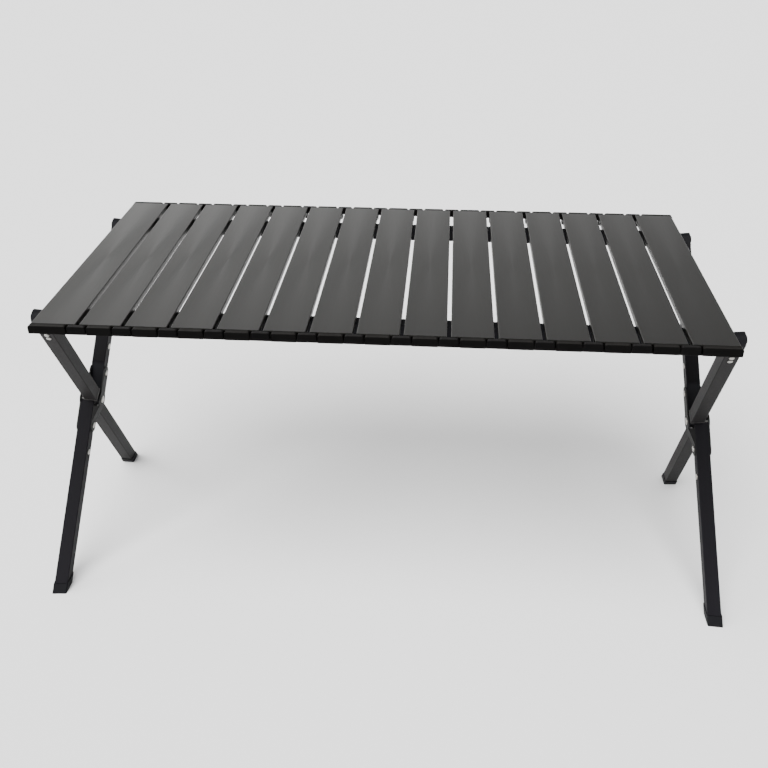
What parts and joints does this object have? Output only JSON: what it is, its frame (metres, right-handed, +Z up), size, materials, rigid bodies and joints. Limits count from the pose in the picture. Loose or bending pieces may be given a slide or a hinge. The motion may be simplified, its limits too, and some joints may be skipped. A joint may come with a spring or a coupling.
{
  "type": "folding picnic table",
  "caption": "Low folding picnic table: roll-up top of hinged aluminium slats resting on two rails over crossed, splayed scissor legs.",
  "frame": {"origin": "on the floor under the middle of the opened table", "axes": "+Z up, +X along the tabletop, +Y towards the back"},
  "size_m": [1.0574, 0.465, 0.505],
  "materials": {
    "slat": "brushed, dark anodised",
    "end_cap": "moulded black",
    "link": "moulded black",
    "rail": "black powder coat",
    "rail_end": "moulded black",
    "leg": "black powder coat",
    "leg_fitting": "moulded black",
    "hinge_bracket": "black coated steel",
    "rivet": "bright rivets"
  },
  "bodies": {
    "front_rail": {"front_rail": "rail", "front_rail_ends": "rail_end"},
    "leg_a_left": {"leg_a_tubes_left": "leg", "leg_a_fittings_left": "leg_fitting"},
    "leg_b_left": {"leg_b_tubes_left": "leg", "leg_b_fittings_left": "leg_fitting", "hinge_brackets_left": "hinge_bracket", "hinge_rivets_left": "rivet"},
    "leg_a_right": {"leg_a_tubes_right": "leg", "leg_a_fittings_right": "leg_fitting"},
    "leg_b_right": {"leg_b_tubes_right": "leg", "leg_b_fittings_right": "leg_fitting", "hinge_brackets_right": "hinge_bracket", "hinge_rivets_right": "rivet"},
    "back_rail": {"back_rail": "rail", "back_rail_ends": "rail_end"},
    "slat_01": {"slat_01": "slat", "end_caps_01": "end_cap", "links_01": "link"},
    "slat_02": {"slat_02": "slat", "end_caps_02": "end_cap", "links_02": "link"},
    "slat_03": {"slat_03": "slat", "end_caps_03": "end_cap", "links_03": "link"},
    "slat_04": {"slat_04": "slat", "end_caps_04": "end_cap", "links_04": "link"},
    "slat_05": {"slat_05": "slat", "end_caps_05": "end_cap", "links_05": "link"},
    "slat_06": {"slat_06": "slat", "end_caps_06": "end_cap", "links_06": "link"},
    "slat_07": {"slat_07": "slat", "end_caps_07": "end_cap", "links_07": "link"},
    "slat_08": {"slat_08": "slat", "end_caps_08": "end_cap", "links_08": "link"},
    "slat_09": {"slat_09": "slat", "end_caps_09": "end_cap", "links_09": "link"},
    "slat_10": {"slat_10": "slat", "end_caps_10": "end_cap", "links_10": "link"},
    "slat_11": {"slat_11": "slat", "end_caps_11": "end_cap", "links_11": "link"},
    "slat_12": {"slat_12": "slat", "end_caps_12": "end_cap", "links_12": "link"},
    "slat_13": {"slat_13": "slat", "end_caps_13": "end_cap", "links_13": "link"},
    "slat_14": {"slat_14": "slat", "end_caps_14": "end_cap", "links_14": "link"},
    "slat_15": {"slat_15": "slat", "end_caps_15": "end_cap"}
  },
  "joints": [
    {"name": "fold_leg_a_left", "type": "hinge", "parent": "front_rail", "child": "leg_a_left", "pos_m": [-0.466, -0.171, 0.486], "axis": [-0.9954, 0, 0.0963], "range_deg": [0, 24]},
    {"name": "fold_leg_b_left", "type": "hinge", "parent": "leg_a_left", "child": "leg_b_left", "pos_m": [-0.48883, 0, 0.2499], "axis": [0.9954, 0, -0.0963], "range_deg": [0, 48]},
    {"name": "fold_leg_a_right", "type": "hinge", "parent": "front_rail", "child": "leg_a_right", "pos_m": [0.466, -0.171, 0.486], "axis": [-0.9954, 0, -0.0963], "range_deg": [0, 24]},
    {"name": "fold_leg_b_right", "type": "hinge", "parent": "leg_a_right", "child": "leg_b_right", "pos_m": [0.48883, 0, 0.2499], "axis": [0.9954, 0, 0.0963], "range_deg": [0, 48]},
    {"name": "fold_back_rail", "type": "hinge", "parent": "leg_b_left", "child": "back_rail", "pos_m": [-0.466, 0.171, 0.486], "axis": [-0.9954, 0, 0.0963], "range_deg": [0, 24]},
    {"name": "lift_top", "type": "slide", "parent": "front_rail", "child": "slat_01", "axis": [0, 0, 1], "range_m": [0, 0.2]},
    {"name": "roll_01", "type": "hinge", "parent": "slat_01", "child": "slat_02", "pos_m": [-0.3845, 0, 0.499], "axis": [0, -1, 0], "range_deg": [0, 33.99]},
    {"name": "roll_02", "type": "hinge", "parent": "slat_02", "child": "slat_03", "pos_m": [-0.3245, 0, 0.499], "axis": [0, -1, 0], "range_deg": [0, 34.76]},
    {"name": "roll_03", "type": "hinge", "parent": "slat_03", "child": "slat_04", "pos_m": [-0.2645, 0, 0.499], "axis": [0, -1, 0], "range_deg": [0, 35.59]},
    {"name": "roll_04", "type": "hinge", "parent": "slat_04", "child": "slat_05", "pos_m": [-0.2045, 0, 0.499], "axis": [0, -1, 0], "range_deg": [0, 36.48]},
    {"name": "roll_05", "type": "hinge", "parent": "slat_05", "child": "slat_06", "pos_m": [-0.1445, 0, 0.499], "axis": [0, -1, 0], "range_deg": [0, 37.44]},
    {"name": "roll_06", "type": "hinge", "parent": "slat_06", "child": "slat_07", "pos_m": [-0.0845, 0, 0.499], "axis": [0, -1, 0], "range_deg": [0, 38.47]},
    {"name": "roll_07", "type": "hinge", "parent": "slat_07", "child": "slat_08", "pos_m": [-0.0245, 0, 0.499], "axis": [0, -1, 0], "range_deg": [0, 39.6]},
    {"name": "roll_08", "type": "hinge", "parent": "slat_08", "child": "slat_09", "pos_m": [0.0355, 0, 0.499], "axis": [0, -1, 0], "range_deg": [0, 40.82]},
    {"name": "roll_09", "type": "hinge", "parent": "slat_09", "child": "slat_10", "pos_m": [0.0955, 0, 0.499], "axis": [0, -1, 0], "range_deg": [0, 42.17]},
    {"name": "roll_10", "type": "hinge", "parent": "slat_10", "child": "slat_11", "pos_m": [0.1555, 0, 0.499], "axis": [0, -1, 0], "range_deg": [0, 43.66]},
    {"name": "roll_11", "type": "hinge", "parent": "slat_11", "child": "slat_12", "pos_m": [0.2155, 0, 0.499], "axis": [0, -1, 0], "range_deg": [0, 45.31]},
    {"name": "roll_12", "type": "hinge", "parent": "slat_12", "child": "slat_13", "pos_m": [0.2755, 0, 0.499], "axis": [0, -1, 0], "range_deg": [0, 47.16]},
    {"name": "roll_13", "type": "hinge", "parent": "slat_13", "child": "slat_14", "pos_m": [0.3355, 0, 0.499], "axis": [0, -1, 0], "range_deg": [0, 49.25]},
    {"name": "roll_14", "type": "hinge", "parent": "slat_14", "child": "slat_15", "pos_m": [0.3955, 0, 0.499], "axis": [0, -1, 0], "range_deg": [0, 51.64]}
  ],
  "couplings": [
    {"joint": "fold_leg_b_left", "follows": "fold_leg_a_left", "ratio": 2},
    {"joint": "fold_back_rail", "follows": "fold_leg_a_left", "ratio": 1},
    {"joint": "fold_leg_a_right", "follows": "fold_leg_a_left", "ratio": 1},
    {"joint": "fold_leg_b_right", "follows": "fold_leg_a_left", "ratio": 2},
    {"joint": "roll_02", "follows": "roll_01", "ratio": 1.0227},
    {"joint": "roll_03", "follows": "roll_01", "ratio": 1.0471},
    {"joint": "roll_04", "follows": "roll_01", "ratio": 1.0733},
    {"joint": "roll_05", "follows": "roll_01", "ratio": 1.1015},
    {"joint": "roll_06", "follows": "roll_01", "ratio": 1.1318},
    {"joint": "roll_07", "follows": "roll_01", "ratio": 1.165},
    {"joint": "roll_08", "follows": "roll_01", "ratio": 1.2009},
    {"joint": "roll_09", "follows": "roll_01", "ratio": 1.2407},
    {"joint": "roll_10", "follows": "roll_01", "ratio": 1.2845},
    {"joint": "roll_11", "follows": "roll_01", "ratio": 1.333},
    {"joint": "roll_12", "follows": "roll_01", "ratio": 1.3875},
    {"joint": "roll_13", "follows": "roll_01", "ratio": 1.449},
    {"joint": "roll_14", "follows": "roll_01", "ratio": 1.5193}
  ]
}
